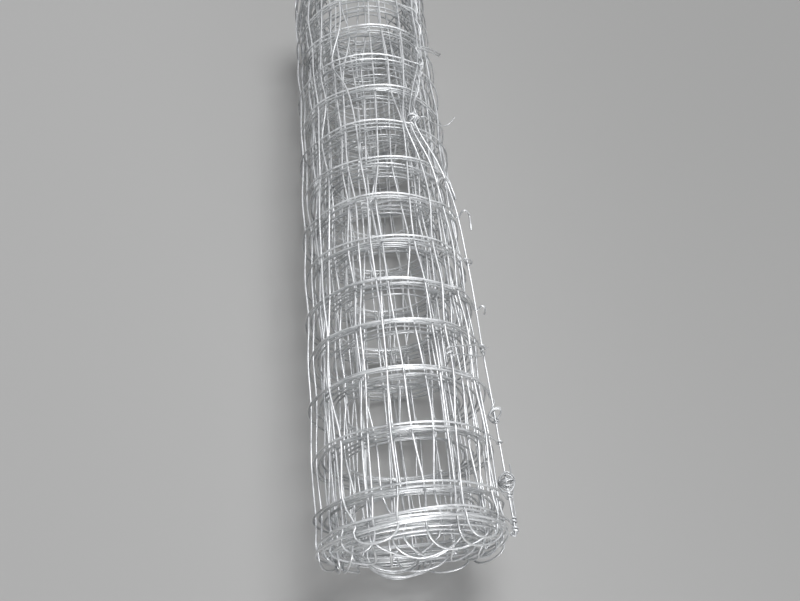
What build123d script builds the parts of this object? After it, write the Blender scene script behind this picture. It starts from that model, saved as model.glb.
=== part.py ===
from build123d import *

import math
import os

# A roll of woven wire mesh, wound from one net of galvanised wire and lying along Y.
# The origin is on the ground under the middle of the roll, and the near end is at -Y.

os.makedirs("parts", exist_ok=True)

# Driving dimensions of the net, in millimetres
wire_d = 3.2
wire_sides = 6
mesh_pitch = 80.0
regular_hoops = 14
selvage_gap = 38.0
selvage_pair_gap = 13.0
bow_reach = 28.0

# Driving dimensions of the winding
bore_r = 85.0
turns = 7
turn_pitch = 8.0

# The free edge lies low on the right side, slants up past the middle and then back a little.
# Its angles are measured from the top of the roll towards +X: at the near end, at each bend,
# whose place is counted in meshes from the first hoop, and at the far end.
edge_near_angle = 77
edge_bends = ((4.0, 79), (6.0, 65), (8.0, 30), (9.9, 43), (10.7, 48))
edge_far_angle = 50
edge_proud = 0.8
edge_bend_r = 25.0

# Thin wires tie the free edge down. Their places are counted in meshes from the first hoop,
# and the thickness of their twisted tails in diameters of the tie wire.
tie_meshes = {"tie_wire_near": 0.34, "tie_wire_middle": 1.5, "tie_wire_far": 8.2}
tie_d = 2.2
tie_gap = 0.3
tie_sides = 8
pocket_margin = 1.0
tail_thickness = 1.5
tail_run = 8.0
tail_rise = 3.0

# Radii of the net, and places along the roll
crest_r = bore_r + turns * turn_pitch
body_r = crest_r - wire_d / 2
axis_z = crest_r
last_hoop_y = (regular_hoops - 1) * mesh_pitch / 2
selvage_y = last_hoop_y + selvage_gap + selvage_pair_gap
hoop_places = [i * mesh_pitch - last_hoop_y for i in range(regular_hoops)]
selvage_places = [selvage_y, selvage_y - selvage_pair_gap]
tie_places = {name: meshes * mesh_pitch - last_hoop_y for name, meshes in tie_meshes.items()}


def end_outline(end):
    """Outline of one end, where the U bows of each turn stand out as a rim of their own."""
    face_y = end * (selvage_y + wire_d / 2)
    tip_y = end * (selvage_y + bow_reach)
    points = []
    for turn in range(turns):
        points.append((body_r - turn * turn_pitch, tip_y))
        points.append((body_r - (turn + 1) * turn_pitch, face_y))
    points[-1] = (bore_r, face_y)
    return points


def edge_point(angle, y):
    """Centre of the free-edge wire at an angle from the top and a place along the roll."""
    radius = body_r + edge_proud
    tilt = math.radians(angle)
    return Vector(radius * math.sin(tilt), y, axis_z + radius * math.cos(tilt))


edge_points = [
    edge_point(edge_near_angle, -selvage_y),
    *[edge_point(angle, meshes * mesh_pitch - last_hoop_y) for meshes, angle in edge_bends],
    edge_point(edge_far_angle, selvage_y),
]


def tie_plane(y):
    """Plane across the free-edge wire at a tie, with X out of the roll and -Y up round it."""
    start, stop = next(run for run in zip(edge_points, edge_points[1:]) if run[1].Y > y)
    along = stop - start
    centre = start + along * ((y - start.Y) / along.Y)
    outward = Vector(centre.X, 0, centre.Z - axis_z)
    across = outward - along * (outward.dot(along) / along.dot(along))
    return Plane(origin=centre, x_dir=across, z_dir=along)


# The wound net: one turned solid with its bore, hoops round it and its turns on both ends
with BuildPart() as mesh_roll:
    with BuildSketch(Plane.XY.offset(axis_z)):
        with BuildLine():
            Polyline(end_outline(-1) + end_outline(1)[::-1], close=True)
        make_face()
        with Locations([(body_r, y) for y in hoop_places + selvage_places + [-y for y in selvage_places]]):
            RegularPolygon(wire_d / 2, 4)
    revolve(axis=Axis((0, 0, axis_z), (0, 1, 0)))

    # Pockets under the free edge, where the tie wires pass round it
    tie_r = wire_d / 2 + tie_gap
    pocket_r = tie_r + tie_d + pocket_margin
    for y in tie_places.values():
        across = tie_plane(y)
        with BuildSketch(Plane(origin=across.origin, x_dir=across.y_dir, z_dir=across.x_dir)):
            Rectangle(2 * pocket_r, 2 * pocket_r)
        extrude(amount=pocket_r, both=True, mode=Mode.SUBTRACT)

    # The free-edge wire, half sunk in the body and bridging the pockets
    with BuildLine() as edge_path:
        FilletPolyline(edge_points, radius=edge_bend_r)
    with BuildSketch(Plane(origin=edge_path.line @ 0, z_dir=edge_path.line % 0)):
        RegularPolygon(wire_d / 2, wire_sides, rotation=180 / wire_sides)
    sweep(path=edge_path.line)

mesh_roll.part.label = "mesh_roll"
export_step(mesh_roll.part, "parts/mesh_roll.step")

# Tie wires: a ring bent round the free edge, its twisted ends running up the roll as a tail
for name, y in tie_places.items():
    across = tie_plane(y)
    with BuildPart() as tie_wire:
        with BuildSketch(across):
            RegularPolygon(tie_r + tie_d, tie_sides, major_radius=False)
            RegularPolygon(tie_r, tie_sides, major_radius=False, mode=Mode.SUBTRACT)
        extrude(amount=tie_d / 2, both=True)
        tail_r = tail_thickness * tie_d / 2
        root = tie_r + tail_r
        with BuildLine(across) as tail_path:
            Polyline((root, 0), (root, -tail_run), (root + tail_rise, -2 * tail_run))
        with BuildSketch(Plane(origin=tail_path.line @ 0, z_dir=tail_path.line % 0)):
            RegularPolygon(tail_r, wire_sides)
        sweep(path=tail_path.line, transition=Transition.RIGHT)
    tie_wire.part.label = name
    export_step(tie_wire.part, f"parts/{name}.step")
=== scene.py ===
import math

import bpy
import numpy as np
from mathutils import Matrix, Vector


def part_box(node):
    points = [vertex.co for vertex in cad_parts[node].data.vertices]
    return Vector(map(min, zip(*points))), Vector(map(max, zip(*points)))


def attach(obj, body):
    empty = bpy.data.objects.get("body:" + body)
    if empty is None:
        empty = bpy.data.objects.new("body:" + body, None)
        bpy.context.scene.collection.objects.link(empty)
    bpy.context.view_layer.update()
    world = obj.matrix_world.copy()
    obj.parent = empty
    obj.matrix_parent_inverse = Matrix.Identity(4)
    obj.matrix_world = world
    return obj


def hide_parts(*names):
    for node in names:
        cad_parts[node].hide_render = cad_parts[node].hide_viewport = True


# A loose roll of woven wire mesh. Its weft runs back and forth along the roll and turns in a bow
# at each selvage, its hoops are woven across the weft and wind inwards turn by turn, and thin
# wires tie its free edge.
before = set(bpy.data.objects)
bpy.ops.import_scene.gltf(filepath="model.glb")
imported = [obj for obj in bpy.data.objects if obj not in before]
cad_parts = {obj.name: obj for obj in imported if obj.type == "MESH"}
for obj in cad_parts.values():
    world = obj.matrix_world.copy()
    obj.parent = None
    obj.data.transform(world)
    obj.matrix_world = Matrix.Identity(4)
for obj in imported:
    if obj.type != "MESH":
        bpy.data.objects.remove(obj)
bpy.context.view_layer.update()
rng = np.random.default_rng(seed=11)

# Sizes in metres. The roll lies along Y on the ground, so its axis is as high as its radius. The
# weave's middle lies one wire's width inside that radius.
WIRE = 0.0032
TIE = 0.0022
low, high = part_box("mesh_roll")
AXIS_Z = (high[0] - low[0]) / 2
MIDDLE_R = AXIS_Z - WIRE
BOW_TIP = high[1]
TURN = 0.008
TURNS = 7

# Fourteen regular hoops stand 80 mm apart, with a closer pair beyond them at each selvage. Some
# have shifted along the roll, by these millimetres.
REGULAR_HOOPS = 14
HOOP_PITCH = 0.080
FIRST_HOOP = -0.520
SELVAGE_PAIR = [-0.571, -0.558]
near_half = SELVAGE_PAIR + [FIRST_HOOP + HOOP_PITCH * i for i in range(REGULAR_HOOPS // 2)]
HOOPS = np.array(near_half + [-y for y in reversed(near_half)])
HOOP_SHIFT = np.array([0, 0, 0, 4, 6.5, 6.5, -2.5, -2.5, 0, -3, -3, 4, 0, 4, 0, 0, 0, 0]) / 1000

# The free edge: places along the roll, and angles in degrees from the top towards +X
EDGE_Y = [-0.571, -0.200, -0.120, -0.040, 0.020, 0.070, 0.120, 0.180, 0.272, 0.336, 0.400, 0.571]
EDGE_ANGLE = [77, 79, 72, 65, 54, 43, 30, 32.5, 43, 48, 46.5, 50]

# The next four runs of the outer turn: their angles at the regular hoops, and at the near and far
# selvages
OUTER_RUNS = [
    [53.5, 54.5, 52.5, 52, 49.5, 50, 47, 39, 27, 31.5, 41, 43.5, 44.5, 46],
    [28.5, 30.5, 33.5, 33, 34.5, 33, 34, 31, 21, 25, 28, 29, 28, 29],
    [-7.5, -8, -7.5, -7.5, -9, -10.5, -10.5, -12.5, -14, -18, -29, -20, -19, -21],
    [-40.5, -40.5, -46.5, -47, -47.5, -50, -48, -47.5, -45, -45, -47, -48.5, -50, -49],
]
OUTER_ENDS = [(54.5, 46), (29, 30), (-9, -22), (-34, -47)]

# Runs of the second and third turns that show between them: an angle in degrees that goes on past
# a full turn, which picks the run, and its angles at the regular hoops
SHOWING_RUNS = [
    (-332, [27, 26.5, 26, 25, 23.5, 20, 20, 21.5, 20.5, 15.5, 15.5, 13, 13, 13]),
    (-719, [9, 4, 3, 0.5, -1.5, -3, -4.5, -1, 1.5, 3, 3.5, 3, 4, 3]),
    (-370, [-24, -22.5, -22, -21.5, -20, -19.5, -19.5, -23, -23.5, -23, -24, -25, -24, -25]),
    (-759, [-29.5, -28, -27, -26.5, -26, -29, -27, -29.5, -28.5, -30, -31.5, -32, -31, -32]),
]

# A wound angle starts at this angle from the top, in degrees, and grows inwards along the net. The
# rest of the runs follow at an even pitch along it.
WOUND_START = 75
RUN_PITCH = 0.084

# The outer turns lie closer together than the inner ones. The outermost keeps its radius for most
# of its way, and then steps in to pass under the free edge.
CLOSENESS = 0.66
STEP_START = 0.7
STEP_SPAN = 0.3


def turn_depth(wound):
    """How far the net lies under its outermost turn, at a wound angle in radians."""
    turn = wound / math.tau
    step = np.clip((turn - STEP_START) / STEP_SPAN, 0, 1)
    whole_step = CLOSENESS + (1 - CLOSENESS) / TURNS
    share = np.where(turn < 1, whole_step * step * step * (3 - 2 * step),
                     turn * (CLOSENESS + (1 - CLOSENESS) * turn / TURNS))
    return TURN * share


def wander(count, keep, spread):
    """A chain of offsets in which each one keeps a part of the one before."""
    steps = rng.normal(0, spread * math.sqrt(1 - keep * keep), count)
    steps[0] = rng.normal(0, spread)
    for i in range(1, count):
        steps[i] += keep * steps[i - 1]
    return steps


# Every run as a wound angle: the free edge, the outer runs, and the later ones by their length
wound = np.linspace(0, math.tau * TURNS, num=9000)
radius = MIDDLE_R - turn_depth(wound)
length = np.concatenate([[0], np.cumsum((radius[1:] + radius[:-1]) / 2 * np.diff(wound))])
outer_runs = [math.radians(WOUND_START - np.mean(run)) for run in OUTER_RUNS]
last_outer = np.interp(outer_runs[-1], wound, length)
later_runs = np.arange(last_outer + RUN_PITCH, length[-1], RUN_PITCH)
RUNS = np.concatenate([[0], outer_runs, np.interp(later_runs, length, wound)])
run_count, hoop_count = len(RUNS), len(HOOPS)
outer_count = 1 + len(OUTER_RUNS)

# Unevenness of the net in metres: how far hoops wander along the roll, and which share of that the
# outer runs keep; how far runs slant and sway round the roll; and how far they stray from their
# radius. Runs whose angles are given stray from them by an angle, in radians.
HOOP_WANDER = 0.0045
SELVAGE_WANDER = 0.003
OUTER_SHARE = 0.35
RUN_SLANT = 0.006
RUN_SWAY = 0.008
SWAY_LIMIT = 0.024
RADIUS_STRAY = 0.0007
ANGLE_STRAY = 0.004

# Every crossing of a run with a hoop: its angle from the top, place along the roll and radius
angle = np.empty((run_count, hoop_count))
along = np.empty((run_count, hoop_count))
for j in range(hoop_count):
    regular = 1 < j < hoop_count - 2
    along[:, j] = wander(run_count, keep=0.93, spread=HOOP_WANDER if regular else SELVAGE_WANDER)
along[:outer_count] *= OUTER_SHARE
along[0] = 0
along += HOOPS + HOOP_SHIFT
for i, turned in enumerate(RUNS):
    if i == 0:
        angle[i] = np.radians(np.interp(HOOPS, EDGE_Y, EDGE_ANGLE))
    elif i < outer_count:
        near, far = OUTER_ENDS[i - 1]
        stations = [near, near] + OUTER_RUNS[i - 1] + [far, far]
        angle[i] = np.radians(stations) + rng.normal(0, ANGLE_STRAY, hoop_count)
    else:
        slant = rng.normal(0, RUN_SLANT) * np.linspace(-1, 1, hoop_count)
        sway = wander(hoop_count, keep=0.78, spread=RUN_SWAY) + slant
        sway = np.clip(sway, -SWAY_LIMIT, SWAY_LIMIT)
        angle[i] = math.radians(WOUND_START) - turned + sway / (MIDDLE_R - turn_depth(turned))

for mean, stations in SHOWING_RUNS:
    i = int(np.argmin(abs(math.radians(WOUND_START - mean) - RUNS)))
    stations = np.radians([stations[0]] * 2 + stations + [stations[-1]] * 2)
    whole_turns = round((math.degrees(RUNS[i]) - WOUND_START) / 360)
    angle[i] = stations - math.tau * whole_turns + rng.normal(0, ANGLE_STRAY, hoop_count)

# Slow dents that neighbouring turns share, always inwards and clear of the free edge
DENT = 0.0011
DENTS_START = 0.6
dents = rng.uniform(0, math.tau, (4, 2))


def dent(turned, y):
    """Depth of the shared dents at a wound angle and a place along the roll."""
    wave = 0
    for k, (a, b) in enumerate(dents):
        wave = wave + np.sin((k % 3 + 1) * turned + a) * np.sin((5 + 3 * k) * y + b)
    return DENT * (wave / 2 + 1)


turned = math.radians(WOUND_START) - angle
depth = turn_depth(np.maximum(turned, 0))
middle = MIDDLE_R - depth - np.where(turned > DENTS_START, dent(turned, along), 0)
hidden = middle[outer_count + 1:]
hidden += rng.normal(0, RADIUS_STRAY, hidden.shape)
middle[0] = MIDDLE_R
middle[1:] = np.minimum(middle[1:], MIDDLE_R)

# The near end is out of true. Its upper right and its underside have slid back, the underside and
# the left flank are pressed in, the inner turns sag at the top, and the free edge springs out on
# the right with the turns next to it. All of it is in metres and fades from hoop to hoop. The sag
# starts at a share of the depth of all turns, is full a little deeper and eases towards the core.
UPPER_SLIDE = 0.010
UNDER_SLIDE = 0.017
UNDER_PRESS = 0.006
LEFT_PRESS = 0.0045
RIGHT_SPRING = 0.0045
EDGE_SPRING = 0.0055
TOP_SAG = 0.021
SAG_START = 0.05
SAG_SPAN = 0.12
SAG_EASE = 0.7
FADE = [1, 1, 0.6, 0.3, 0.1]
inner_share = np.clip(depth / (TURN * TURNS), 0, 1)
nearness = np.array(FADE + [0] * (hoop_count - len(FADE)))


def bulge(centre, width):
    """One round an angle, given in degrees, and falling off on both sides of it."""
    apart = angle - math.radians(centre)
    apart = np.arctan2(np.sin(apart), np.cos(apart))
    return np.exp(-((np.degrees(apart) / width) ** 2))


under_top = np.clip((inner_share - SAG_START) / SAG_SPAN, 0, 1)
under_edge = np.clip(1 - 3 * inner_share, 0, 1)
right_flank = bulge(84, width=34) * under_edge * nearness ** 0.5
left_flank = bulge(264, width=36) * nearness
along += UPPER_SLIDE * bulge(34, width=42) * (1 - inner_share) * nearness
along += UNDER_SLIDE * bulge(182, width=74) * nearness
middle -= UNDER_PRESS * bulge(170, width=62) * nearness
middle -= (TOP_SAG * bulge(12, width=32) * under_top * (1 - SAG_EASE * inner_share)
           * nearness ** 1.5)
middle[outer_count:] += RIGHT_SPRING * right_flank[outer_count:]
middle[1:] -= LEFT_PRESS * left_flank[1:]
middle[0] += EDGE_SPRING * nearness ** 0.5

# Plain weave: +1 where the run passes outside the hoop, -1 where it passes inside
i_index, j_index = np.indices((run_count, hoop_count))
weave = np.where((i_index + j_index) % 2 == 0, 1.0, -1.0)
weave[0] = 1
weave[-1] = -1


def smooth(values, places):
    """Catmull-Rom curve through values at whole numbers, read at fractional places."""
    values = np.asarray(values, float)
    slopes = np.gradient(values)
    k = np.clip(np.floor(places).astype(int), 0, len(values) - 2)
    t = places - k
    return (values[k] * (2 * t**3 - 3 * t**2 + 1) + slopes[k] * (t**3 - 2 * t**2 + t)
            + values[k + 1] * (3 * t**2 - 2 * t**3) + slopes[k + 1] * (t**3 - t**2))


def swing(values, places):
    """Cosine wave through values at whole numbers, as a crimped wire goes."""
    k = np.clip(np.floor(places).astype(int), 0, len(values) - 2)
    t = (1 - np.cos(math.pi * (places - k))) / 2
    return values[k] * (1 - t) + values[k + 1] * t


def curve_through(points, count):
    """A smooth line through a few points."""
    places = np.linspace(0, len(points) - 1, count)
    return np.stack([smooth(np.array(points)[:, k], places) for k in range(3)], axis=-1)


def on_roll(a, y, r):
    """Points in space from angles off the top, places along the roll and radii."""
    a, y, r = np.broadcast_arrays(a, y, r)
    return np.stack([r * np.sin(a), y, AXIS_Z + r * np.cos(a)], axis=-1)


# Points along the wires: of a run in one mesh, whose hoops stand more than a wide gap apart, and
# between closer hoops; of a hoop between two runs; of a bow; and of an open hook between its marks
WIDE_GAP = 0.05
MESH_STEPS = 6
SELVAGE_STEPS = 3
HOOP_STEPS = 8
BOW_STEPS = 14
HOOK_STEPS = 7


def weft_run(i):
    """One run of the weft, from the near selvage to the far one."""
    counts = np.where(np.diff(HOOPS) > WIDE_GAP, MESH_STEPS, SELVAGE_STEPS)
    steps = [np.linspace(j, j + 1, count, endpoint=False) for j, count in enumerate(counts)]
    places = np.concatenate(steps + [[hoop_count - 1]])
    r = smooth(middle[i], places) + WIRE / 2 * swing(weave[i], places)
    return on_roll(smooth(angle[i], places), smooth(along[i], places), r)


# Bows of the weft: their greatest length in metres, the share of it that the shortest have, how
# much shorter they are low on the flanks, and one that stays short; and how far to one side a bow
# leans, and how full its curve is
BOW_LENGTH = 0.027
SHORTEST = 0.84
FLANK_CUT = 0.45
SHORT_BOW = 3
SHORT_BOW_SHARE = 0.75
BOW_SKEW = 0.05
BOW_FULLNESS = 0.8

# How far the tips of the bows hang in towards the core, at least and at most, in metres. The outer
# bows end at a count of runs, and the inner ones start at a share of all runs.
OUTER_HANG = (0.0, 0.005)
OUTER_UNDER_HANG = (0.008, 0.022)
INNER_HANG = (0.0, 0.024)
INNER_TOP_HANG = (0.022, 0.050)
OUTER_BOWS = 10
INNER_BOWS = 0.3

# Heights on the roll, as the cosine of the angle from its top
HIGH = 0.3
LOW = 0.1
UNDER = -0.3


def bow(i, j, end):
    """The U bow that leads from one run to the next beyond a selvage."""
    theta = np.linspace(0, math.pi, BOW_STEPS)[1:-1]
    room = BOW_TIP - WIRE / 2 - max(abs(along[i, j]), abs(along[i + 1, j]))
    reach = min(room, BOW_LENGTH) * rng.uniform(SHORTEST, 1.0)
    if i == SHORT_BOW:
        reach *= SHORT_BOW_SHARE
    side = (1 - np.cos(theta)) / 2 + rng.normal(0, BOW_SKEW) * np.sin(theta) ** 2
    out = np.sin(theta) ** BOW_FULLNESS
    start, stop = (middle[k, j] + WIRE / 2 * weave[k, j] for k in (i, i + 1))
    height = math.cos((angle[i, j] + angle[i + 1, j]) / 2)
    if height < LOW:
        reach *= 1 - FLANK_CUT * math.sqrt(1 - height * height)
    if i > INNER_BOWS * run_count and height > HIGH:
        hang = rng.uniform(*INNER_TOP_HANG)
    elif i > OUTER_BOWS:
        hang = rng.uniform(*INNER_HANG)
    elif height > UNDER:
        hang = rng.uniform(*OUTER_HANG)
    else:
        hang = rng.uniform(*OUTER_UNDER_HANG)
    a = angle[i, j] + (angle[i + 1, j] - angle[i, j]) * side
    y = along[i, j] + (along[i + 1, j] - along[i, j]) * side + end * reach * out
    return on_roll(a, y, start + (stop - start) * side - hang * out * out)


edge_run = weft_run(0)
ALONG = np.array([0, 1, 0])


def edge_centre(y):
    """The centre of the free edge at one or more places along the roll."""
    return np.stack([np.interp(y, edge_run[:, 1], edge_run[:, k]) for k in range(3)], axis=-1)


def edge_at(y):
    """The centre of the free edge at one place along the roll, and its angle from the top."""
    centre = edge_centre(y)
    return centre, math.atan2(centre[0], centre[2] - AXIS_Z)


def ways_at(tilt):
    """The ways outwards and on round the roll, at an angle from the top."""
    return (np.array([math.sin(tilt), 0, math.cos(tilt)]),
            np.array([math.cos(tilt), 0, -math.sin(tilt)]))


def off_centre(centre, tilt, points):
    """Points given in millimetres outwards from a centre, on round the roll and along it."""
    outward, onward = ways_at(tilt)
    return [centre + (p * outward + q * onward + s * ALONG) / 1000 for p, q, s in points]


# Wound ends of the wires: points in a turn, and the pitch of the turns in widths of the wire
COIL_STEPS = 11
COIL_PITCH = 1.1


def winding(turns):
    """Growing angles of a wire's end that is wound round another wire."""
    return np.linspace(0, math.tau * turns, int(COIL_STEPS * turns) + 2)[1:]


def winding_gap(psi, first, growth):
    """How far the two wires' centres lie apart, given in widths at the start and for each turn."""
    return WIRE * (first + growth * psi / math.tau)


def round_edge(j, turns, pitch):
    """The end of a hoop wound outwards round the free edge, and along it."""
    psi = winding(turns)
    outward, onward = ways_at(angle[0, j])
    centre = edge_centre(along[0, j] + pitch * psi / math.tau)
    gap = winding_gap(psi, first=1.04, growth=0.05)
    return centre + np.outer(gap * np.cos(psi), -outward) + np.outer(gap * np.sin(psi), onward)


def open_hook(j, points):
    """The end of a hoop that leaves the roll at the free edge, through points measured from it."""
    tilt = angle[0, j]
    centre = on_roll(tilt, along[0, j], middle[0, j])
    start = centre - WIRE / 2 * ways_at(tilt)[0]
    marks = [start] + off_centre(centre, tilt, points)
    return curve_through(marks, HOOK_STEPS * len(points))[1:]


def round_last(j, turns):
    """The end of a hoop wound inwards round the last run, in the core."""
    psi = winding(turns)
    gap = winding_gap(psi, first=1.06, growth=0.08)
    r = middle[-1, j] + WIRE / 2 * weave[-1, j] + gap * np.cos(psi)
    a = angle[-1, j] - gap * np.sin(psi) / middle[-1, j]
    return on_roll(a, along[-1, j] + psi / math.tau * WIRE * COIL_PITCH, r)


def round_hoop(i, j, end):
    """The end of the weft, wound once round the outermost hoop of a selvage."""
    psi = winding(turns=1.2)
    side = weave[i, j]
    gap = winding_gap(psi, first=1.02, growth=0.06)
    r = middle[i, j] - side * WIRE / 2 + side * gap * np.cos(psi)
    a = angle[i, j] + psi / math.tau * WIRE * COIL_PITCH / middle[i, j]
    return on_roll(a, along[i, j] + end * gap * np.sin(psi), r)


# Most hoop ends are wound round the free edge. Those beyond the middle run on along it as a
# strand, and one near the front runs along it towards the near end. The open ones are given in
# millimetres outwards, on round the roll and along it.
BACK_HOOP = 4
STRAND_HOOPS = range(10, 16)
OPEN_HOOKS = {
    6: [(2, 4, 0), (7, 2, 1), (11, -5, 1), (15, -3, 0), (16.5, 3, -1), (15, 11, -2), (13, 17, -2)],
    7: [(-1, 6, 0), (4, 8, 0), (8, 5, 1), (8, -2, 1), (4, -10, 0), (0, -14, 0)],
    8: [(3, 2, 0), (9, -5, 1), (15, -10, 1), (19, -8, 1), (21, -1, 0), (20, 7, -2), (18, 13, -9),
        (16, 17, -22)],
    9: [(0, 9, -4), (2, 19, -13), (1, 27, -28), (0, 31, -42), (2, 30.5, -45), (3, 27, -41),
        (3, 22, -28), (3, 16, -19), (4, 6, -17), (4, -5, -21), (3, -14, -31), (2, -22, -43)],
    12: [(3.4, 1, 8), (1, 3.6, 18), (-2, 3, 28), (2, -2, 34), (4, -10, 41), (4, 5, 50),
         (3, 23, 59), (-4.5, 54, 80), (-17, 84, 106), (-16.5, 86, 109), (-14, 84, 109),
         (-1.5, 54, 83.5), (6, 23, 62.5), (7, 5, 53.5)],
}


def hoop(j):
    """One hoop, from its end at the free edge to its curled end in the core."""
    places = np.linspace(0, run_count - 1, (run_count - 1) * HOOP_STEPS + 1)
    r = smooth(middle[:, j], places) - WIRE / 2 * swing(weave[:, j], places)
    body = on_roll(smooth(angle[:, j], places), smooth(along[:, j], places), r)
    if j in OPEN_HOOKS:
        start = open_hook(j, OPEN_HOOKS[j])
    elif j in STRAND_HOOPS:
        start = round_edge(j, turns=rng.uniform(1.6, 2.3), pitch=rng.uniform(0.050, 0.066))
    elif j == BACK_HOOP:
        start = round_edge(j, turns=1.6, pitch=-0.030)
    else:
        start = round_edge(j, turns=rng.uniform(1.2, 2.4), pitch=rng.uniform(0.0036, 0.0050))
    return np.concatenate([start[::-1], body, round_last(j, turns=rng.uniform(0.6, 1.1))])


def wire_piece(name, paths, thickness):
    """Round wires along paths of points, as one mesh."""
    curve = bpy.data.curves.new(name, "CURVE")
    curve.dimensions = "3D"
    curve.bevel_depth = thickness / 2
    curve.bevel_resolution = 2
    curve.use_fill_caps = True
    for path in paths:
        spline = curve.splines.new("POLY")
        spline.points.add(len(path) - 1)
        spline.points.foreach_set("co", np.c_[path, np.ones(len(path))].ravel())
    piece = bpy.data.objects.new(name, curve)
    bpy.context.collection.objects.link(piece)
    bpy.ops.object.select_all(action="DESELECT")
    piece.select_set(True)
    bpy.context.view_layer.objects.active = piece
    bpy.ops.object.convert(target="MESH")
    bpy.ops.object.shade_smooth()
    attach(piece, "root")
    return piece


# The weft is one wire that turns back at each selvage. Even runs lead to the far selvage, at +1,
# and odd ones to the near selvage, at -1.
SELVAGE_HOOP = {1: hoop_count - 1, -1: 0}
weft_path = [round_hoop(0, SELVAGE_HOOP[-1], -1)[::-1]]
for i in range(run_count):
    end = 1 if i % 2 == 0 else -1
    weft_path.append(weft_run(i)[::end])
    if i + 1 < run_count:
        weft_path.append(bow(i, SELVAGE_HOOP[end], end))
weft_path.append(round_hoop(run_count - 1, SELVAGE_HOOP[end], end))

weft_wire = wire_piece("weft_wire", [np.concatenate(weft_path)], WIRE)
hoop_wires = wire_piece("hoop_wires", [hoop(j) for j in range(hoop_count)], WIRE)
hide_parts("mesh_roll")
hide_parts("mesh_roll")


def near_edge(y, points):
    """Points in millimetres outwards from the free edge, on round the roll and along it."""
    return off_centre(*edge_at(y), points)


def on_surface(points):
    """Points given as degrees from the top, metres along the roll and metres from its axis."""
    return [on_roll(math.radians(a), y, r) for a, y, r in points]


# Knots: points in a loop, and the shares of its size by which a loop shrinks and strays
KNOT_STEPS = 26
KNOT_SHRINK = 0.30
KNOT_STRAY = 0.2


def knot(y, size, loops, twist, tall, wide):
    """A ball of thin wire tied round the free edge: uneven loops whose plane turns as they go."""
    centre, tilt = edge_at(y)
    outward, onward = ways_at(tilt)
    t = np.linspace(0, 1, int(loops * KNOT_STEPS))
    theta = math.tau * loops * t
    lean = twist * t + 0.4 + 0.5 * np.sin(0.31 * theta)
    reach = size * (1 - KNOT_SHRINK * np.sin(0.37 * theta + 1) ** 2)
    slant = np.outer(np.cos(lean), ALONG) * tall + np.outer(np.sin(lean), onward) * wide
    stray = KNOT_STRAY * size * (np.outer(np.sin(0.61 * theta + 0.5), onward)
                                 + np.outer(np.sin(0.43 * theta), ALONG))
    return (centre + stray + (reach * np.cos(theta))[:, None] * outward
            + (reach * np.sin(theta))[:, None] * slant)


def tie_place(name):
    """The place along the roll of a tie wire's solid."""
    corner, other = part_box(name)
    return (corner[1] + other[1]) / 2


def tied(head, ball, tail, count):
    """One thin wire that leads from its head through a knot to its tail."""
    return np.concatenate([curve_through(head + [ball[0]], count=14)[:-1], ball,
                           curve_through([ball[-1]] + tail, count)[1:]])


# The near tie is a ball with a short head and a hanging loop for a tail.
near_y = tie_place("tie_wire_near")
near_ball = knot(near_y, size=0.0120, loops=6.5, twist=3.2, tall=1.15, wide=1.0)
near_head = near_edge(near_y, [(9, -10, 22), (9, -6, 15), (8, -2, 8)])
near_tail = near_edge(near_y, [
    (6, 9, -8), (4, 12, -22), (4, 15, -44), (3, 17, -60), (1, 16, -67), (-1, 12, -62),
    (1, 8, -44), (2, 6, -26)])
near_path = tied(near_head, near_ball, near_tail, count=60)

# The middle tie is an open ring that goes round the free edge and back on itself.
middle_y = tie_place("tie_wire_middle")
middle_ring = knot(middle_y, size=0.0044, loops=2.2, twist=1.0, tall=1.1, wide=1.0)
middle_loop = near_edge(middle_y, [
    (-3, -5, 4), (-8, -3, 9), (-4, -4, 15), (2, -4, 18), (8, -2, 18.5), (10, 1, 15), (6, 4, 9),
    (0, 5, 3), (-3, 4, 0), (-8, 1, 4), (-10, -2, 10), (-4, -5, 16), (3, -4, 20), (10, -1, 20),
    (9, 3, 13), (5, 5, 8)])
middle_tail = curve_through([middle_ring[-1]] + middle_loop, count=70)
middle_path = np.concatenate([middle_ring, middle_tail[1:]])

# The far tie is a loose cluster whose tail curls away over the flank.
far_y = tie_place("tie_wire_far")
far_ball = knot(far_y - 0.006, size=0.0085, loops=10.5, twist=6.0, tall=1.1, wide=1.6)
far_head = near_edge(far_y, [(4, -16, -10), (3, -10, -4), (3, -5, 2)])
far_tail = on_surface([
    (36, 0.138, 0.1450), (42, 0.137, 0.1440), (49, 0.140, 0.1440), (56, 0.148, 0.1455),
    (60.5, 0.156, 0.1490), (62, 0.161, 0.1545), (61.5, 0.164, 0.1610), (60.5, 0.166, 0.1670)])
far_path = tied(far_head, far_ball, far_tail, count=56)

# A fourth, long tie loops from the free edge to the third run and back.
loop_start = near_edge(-0.278, [
    (0, -4, 6), (4, 1, 5), (1, 4.5, 3), (-3, 1, 2), (0, -4, 1), (4, -1, 0)])
loop_over = on_surface([
    (70, -0.285, 0.1432), (56, -0.297, 0.1432), (43, -0.309, 0.1432), (35, -0.316, 0.1425),
    (31, -0.319, 0.1400), (32, -0.321, 0.1345), (35, -0.323, 0.1372), (33, -0.325, 0.1430),
    (30.5, -0.327, 0.1380), (33, -0.329, 0.1345), (35.5, -0.328, 0.1400), (38, -0.327, 0.1430),
    (56, -0.315, 0.1432), (68, -0.301, 0.1432)])
loop_end = near_edge(-0.285, [
    (4, -1, 2), (1, 4.5, 3), (-4, 0, 4), (0, -4.5, 5), (5, -2, 7), (8, 4, 12)])
loop_path = curve_through(loop_start + loop_over + loop_end, count=210)

TIES = {"tie_near": near_path, "tie_middle": middle_path, "tie_far": far_path,
        "tie_loop": loop_path}
tie_pieces = {name: wire_piece(name, [path], TIE) for name, path in TIES.items()}
for name in ("near", "middle", "far"):
    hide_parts("tie_wire_" + name)


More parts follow.
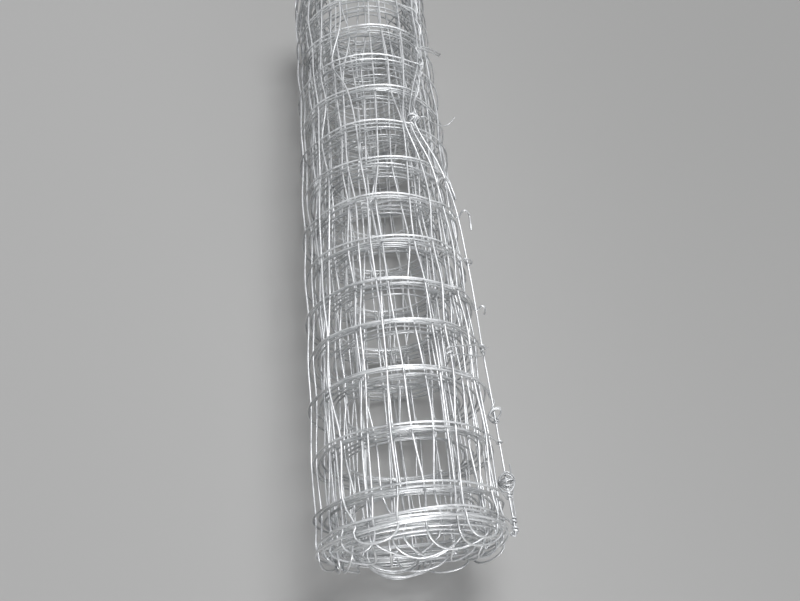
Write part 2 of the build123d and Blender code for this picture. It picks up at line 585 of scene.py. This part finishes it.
class Socket:
    """A shader socket on which plain expressions add their Math nodes."""

    def __init__(self, tree, socket=None):
        self.tree = tree
        self.socket = socket

    def node(self, kind, settings=None, inputs=None, output=0):
        """Any other node: its type, its settings, which are set first, and its inputs."""
        made = self.tree.nodes.new(kind)
        for key, value in (settings or {}).items():
            if key == "stops":
                for element, (place, tone) in zip(made.color_ramp.elements, value):
                    element.position = place
                    element.color = (*tone, 1)
            else:
                setattr(made, key, value)
        for key, value in (inputs or {}).items():
            if isinstance(value, Socket):
                self.tree.links.new(value.socket, made.inputs[key])
            else:
                made.inputs[key].default_value = value
        return Socket(self.tree, made.outputs[output])

    def feed(self, shader, name):
        """Leads this socket to an input of a shader."""
        self.tree.links.new(self.socket, shader.inputs[name])

    def math(self, operation, a, b):
        return self.node("ShaderNodeMath", {"operation": operation}, {0: a, 1: b})

    def __add__(self, other):
        return self.math("ADD", self, other)

    def __radd__(self, other):
        return self.math("ADD", other, self)

    def __sub__(self, other):
        return self.math("SUBTRACT", self, other)

    def __rsub__(self, other):
        return self.math("SUBTRACT", other, self)

    def __mul__(self, other):
        return self.math("MULTIPLY", self, other)

    def __rmul__(self, other):
        return self.math("MULTIPLY", other, self)


def noise(place, scale, detail):
    """Noise over a surface, with this many lumps in a metre."""
    inputs = {"Vector": place, "Scale": scale, "Detail": detail}
    return place.node("ShaderNodeTexNoise", None, inputs)


def zinc(name, light, dark, rough):
    """Galvanised steel wire: bright zinc with dull patches, spots and a fine grain."""
    material = bpy.data.materials.new(name)
    material.use_nodes = True
    shader = material.node_tree.nodes["Principled BSDF"]
    here = Socket(material.node_tree)
    place = here.node("ShaderNodeTexCoord", output="Object")
    patch = noise(place, scale=22.0, detail=3.0)
    grain = noise(place, scale=900.0, detail=2.0)
    spots = noise(place, scale=160.0, detail=4.0)
    tone = patch * 0.6 + spots * 0.3 + grain * 0.1
    stops = [(0.34, dark), (0.52, light)]
    colour = here.node("ShaderNodeValToRGB", {"stops": stops}, {"Fac": tone})
    roughness = rough + (spots - 0.5) * 0.30 + (grain - 0.5) * 0.10
    relief = {"Strength": 0.25, "Distance": 0.0002, "Height": grain + spots * 0.5}
    colour.feed(shader, "Base Color")
    roughness.feed(shader, "Roughness")
    here.node("ShaderNodeBump", None, relief).feed(shader, "Normal")
    shader.inputs["Metallic"].default_value = 0.6
    return material


DULL_ZINC = (0.38, 0.39, 0.40)
mesh_zinc = zinc("galvanised wire", light=(0.69, 0.70, 0.71), dark=DULL_ZINC, rough=0.40)
tie_zinc = zinc("galvanised tying wire", light=(0.62, 0.63, 0.64), dark=DULL_ZINC, rough=0.44)
for piece in (weft_wire, hoop_wires):
    piece.data.materials.append(mesh_zinc)
for piece in tie_pieces.values():
    piece.data.materials.append(tie_zinc)


def seen_ray(here):
    """1 on rays that come from the camera or by way of shiny or clear things, and 0 on the rest."""
    rays = here.node("ShaderNodeLightPath").socket.node.outputs
    camera, glossy, clear = (Socket(here.tree, rays[name]) for name in (
        "Is Camera Ray", "Is Glossy Ray", "Is Transmission Ray"))
    return here.math("MAXIMUM", here.math("MAXIMUM", camera, glossy), clear)


# Floor. The overhead lamp's light falls off round its foot, and the floor makes up for that to
# the eye, so that it stays as pale far away as it is under the lamp.
LAMP = Vector((0.60, 0.40, 2.3))
FLOOR_SEEN = 0.36
bpy.ops.object.select_all(action="DESELECT")
bpy.ops.mesh.primitive_plane_add(size=40, location=(0, 0, 0))
floor = bpy.context.object
floor.name = "floor"
floor_paint = bpy.data.materials.new("floor")
floor_paint.use_nodes = True
floor_shader = floor_paint.node_tree.nodes["Principled BSDF"]
floor_shader.inputs["Base Color"].default_value = (0.405, 0.405, 0.402, 1)
floor_shader.inputs["Roughness"].default_value = 0.9
floor_shader.inputs["Emission Strength"].default_value = 1.0
paint = Socket(floor_paint.node_tree)
spot = paint.node("ShaderNodeTexCoord", output="Object")
from_foot = paint.node("ShaderNodeVectorMath", {"operation": "SUBTRACT"}, {
    0: spot, 1: (LAMP.x, LAMP.y, 0)})
reach = paint.node("ShaderNodeVectorMath", {"operation": "DOT_PRODUCT"}, {
    0: from_foot, 1: from_foot}, output="Value")
lit = paint.math("DIVIDE", LAMP.z ** 2, reach + LAMP.z ** 2)
glow = (1 - lit * lit) * FLOOR_SEEN * seen_ray(paint)
glow.feed(floor_shader, "Emission Color")
floor.data.materials.append(floor_paint)


def softbox(name, place, target, size, power, spread=180):
    """A square lamp that faces a point, with the spread of its beam in degrees."""
    data = bpy.data.lights.new(name, "AREA")
    data.shape = "SQUARE"
    data.size = size
    data.energy = power
    data.spread = math.radians(spread)
    lamp = bpy.data.objects.new(name, data)
    lamp.location = place
    lamp.rotation_euler = (Vector(target) - Vector(place)).to_track_quat("-Z", "Y").to_euler()
    bpy.context.collection.objects.link(lamp)


# A broad lamp stands over the roll, and a narrow beam brightens its near end.
softbox("overhead", LAMP, target=(0.0, 0.1, 0), size=1.1, power=48)
softbox("front", (0.3, -2.5, 0.5), target=(0.0, -0.57, 0.34), size=0.7, power=1.6, spread=32)

# The room is pale to the eye and in the zinc, and lights the roll less than it shows.
ROOM_LIGHT = 0.06
ROOM_SEEN = 0.88
world = bpy.data.worlds.new("studio")
bpy.context.scene.world = world
world.use_nodes = True
backdrop = world.node_tree.nodes["Background"]
backdrop.inputs["Color"].default_value = (0.95, 0.97, 1.0, 1)
strength = ROOM_LIGHT + seen_ray(Socket(world.node_tree)) * (ROOM_SEEN - ROOM_LIGHT)
strength.feed(backdrop, "Strength")

# Camera, at the photograph's viewing angle
camera_data = bpy.data.cameras.new("camera")
camera_data.sensor_width = 36.0
camera_data.lens = 36.54
camera_data.clip_start = 0.02
camera = bpy.data.objects.new("camera", camera_data)
bpy.context.collection.objects.link(camera)
right = Vector((0.9960, -0.0890, 0.0)).normalized()
back = Vector((-0.0471, -0.5275, 0.8482)).normalized()
facing = Matrix((right, back.cross(right), back)).transposed().to_4x4()
camera.matrix_world = Matrix.Translation((-0.045, -0.868, 1.281)) @ facing
bpy.context.scene.camera = camera
bpy.context.scene.view_settings.view_transform = "Standard"
